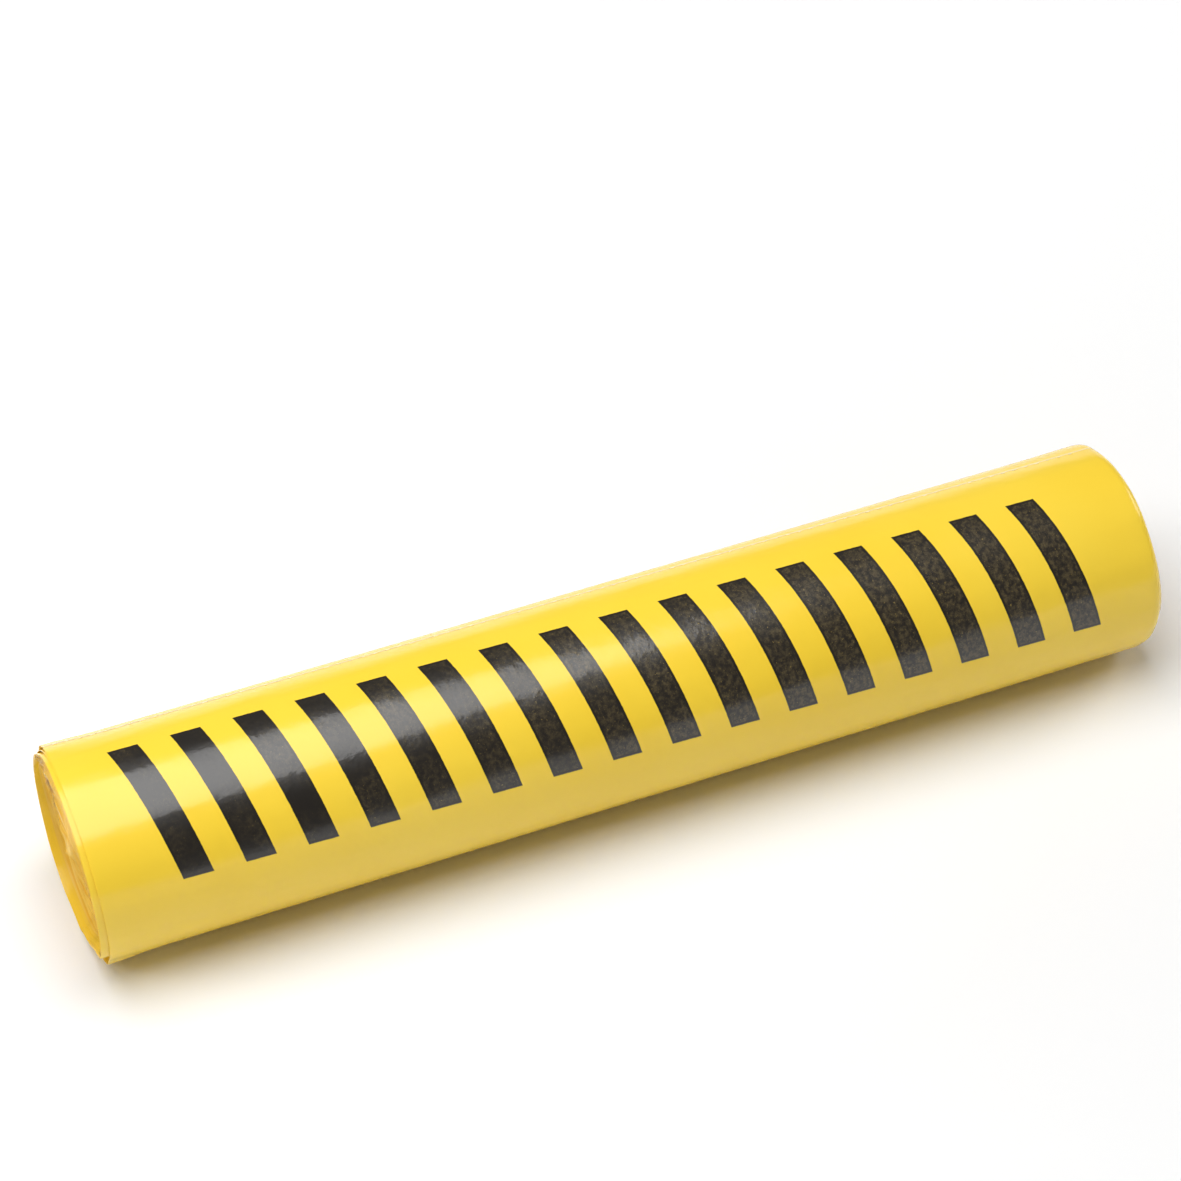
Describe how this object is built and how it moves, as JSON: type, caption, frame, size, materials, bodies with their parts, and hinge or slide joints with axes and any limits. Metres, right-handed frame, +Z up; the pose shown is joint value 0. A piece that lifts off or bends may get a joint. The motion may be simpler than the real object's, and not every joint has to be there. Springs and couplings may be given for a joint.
{
  "type": "roll of biohazard waste bags",
  "caption": "Coreless roll of flat-folded yellow plastic waste bags, soft and slightly oval, a little dished at one end and proud at the other, lying on its flattened underside.",
  "frame": {"origin": "middle of the flat strip that the roll rests on, at floor height", "axes": "+X along the roll's axis towards the end that stands out, +Y level across the roll to its back, +Z up"},
  "size_m": [0.3766, 0.0738, 0.0667],
  "materials": {
    "yellow_film": "smooth glossy polyethylene film, a little translucent"
  },
  "bodies": {
    "root": {"bag_roll": "yellow_film"}
  },
  "joints": []
}
